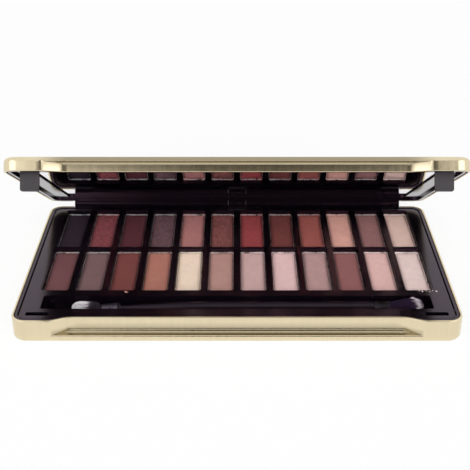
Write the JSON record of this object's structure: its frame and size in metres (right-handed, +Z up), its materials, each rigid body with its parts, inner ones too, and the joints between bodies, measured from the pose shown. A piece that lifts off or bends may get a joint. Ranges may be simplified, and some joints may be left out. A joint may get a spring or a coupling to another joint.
{
  "type": "eyeshadow palette",
  "caption": "Hinged tin eyeshadow palette: two rows of pressed powder pans, a mirror in the lid, snap latch tabs and a lift-out double-ended brush in a trough.",
  "frame": {"origin": "middle of the base's underside", "axes": "+Z up, +X to the user's right, +Y towards the hinge at the back; the lid stands partly open at rest"},
  "size_m": [0.21, 0.1306, 0.0833],
  "materials": {
    "lacquered_tin": "satin champagne lacquer",
    "black_gloss": "glossy black",
    "steel_wire": "drawn wire",
    "adhesive_sheet": "matt",
    "mirror": "silvered glass",
    "handle_lacquer": "glossy black",
    "ferrule_metal": "polished grey",
    "pale_hair": "soft synthetic hair",
    "dark_hair": "soft synthetic hair",
    "pan_metal": "bright pressed sheet",
    "shade_01": "pressed powder",
    "shade_02": "pressed powder",
    "shade_03": "pressed powder",
    "shade_04": "pressed powder",
    "shade_05": "pressed powder",
    "shade_06": "pressed powder",
    "shade_07": "pressed powder",
    "shade_08": "pressed powder",
    "shade_09": "pressed powder",
    "shade_10": "pressed powder",
    "shade_11": "pressed powder",
    "shade_12": "pressed powder",
    "shade_13": "pressed powder",
    "shade_14": "pressed powder",
    "shade_15": "pressed powder",
    "shade_16": "pressed powder",
    "shade_17": "pressed powder",
    "shade_18": "pressed powder",
    "shade_19": "pressed powder",
    "shade_20": "pressed powder",
    "shade_21": "pressed powder",
    "shade_22": "pressed powder",
    "shade_23": "pressed powder",
    "shade_24": "pressed powder"
  },
  "bodies": {
    "base": {"base_tin": "lacquered_tin", "pan_tray": "black_gloss", "hinge_pin": "steel_wire", "pan_01": "pan_metal", "pan_02": "pan_metal", "pan_03": "pan_metal", "pan_04": "pan_metal", "pan_05": "pan_metal", "pan_06": "pan_metal", "pan_07": "pan_metal", "pan_08": "pan_metal", "pan_09": "pan_metal", "pan_10": "pan_metal", "pan_11": "pan_metal", "pan_12": "pan_metal", "pan_13": "pan_metal", "pan_14": "pan_metal", "pan_15": "pan_metal", "pan_16": "pan_metal", "pan_17": "pan_metal", "pan_18": "pan_metal", "pan_19": "pan_metal", "pan_20": "pan_metal", "pan_21": "pan_metal", "pan_22": "pan_metal", "pan_23": "pan_metal", "pan_24": "pan_metal", "powder_01": "shade_01", "powder_02": "shade_02", "powder_03": "shade_03", "powder_04": "shade_04", "powder_05": "shade_05", "powder_06": "shade_06", "powder_07": "shade_07", "powder_08": "shade_08", "powder_09": "shade_09", "powder_10": "shade_10", "powder_11": "shade_11", "powder_12": "shade_12", "powder_13": "shade_13", "powder_14": "shade_14", "powder_15": "shade_15", "powder_16": "shade_16", "powder_17": "shade_17", "powder_18": "shade_18", "powder_19": "shade_19", "powder_20": "shade_20", "powder_21": "shade_21", "powder_22": "shade_22", "powder_23": "shade_23", "powder_24": "shade_24"},
    "lid": {"lid_tin": "lacquered_tin", "mirror_frame": "black_gloss", "mirror_tape": "adhesive_sheet", "mirror_glass": "mirror"},
    "brush": {"brush_handle": "handle_lacquer", "brush_ferrule_left": "ferrule_metal", "brush_ferrule_right": "ferrule_metal", "brush_tuft_left": "pale_hair", "brush_tuft_right": "dark_hair"}
  },
  "joints": [
    {"name": "lid_hinge", "type": "hinge", "parent": "base", "child": "lid", "pos_m": [0, 0.06555, 0.0119], "axis": [-1, 0, 0], "range_deg": [-31.5, 88.5]},
    {"name": "brush_lift", "type": "slide", "parent": "base", "child": "brush", "axis": [0, 0, 1], "range_m": [0, 0.045]}
  ]
}
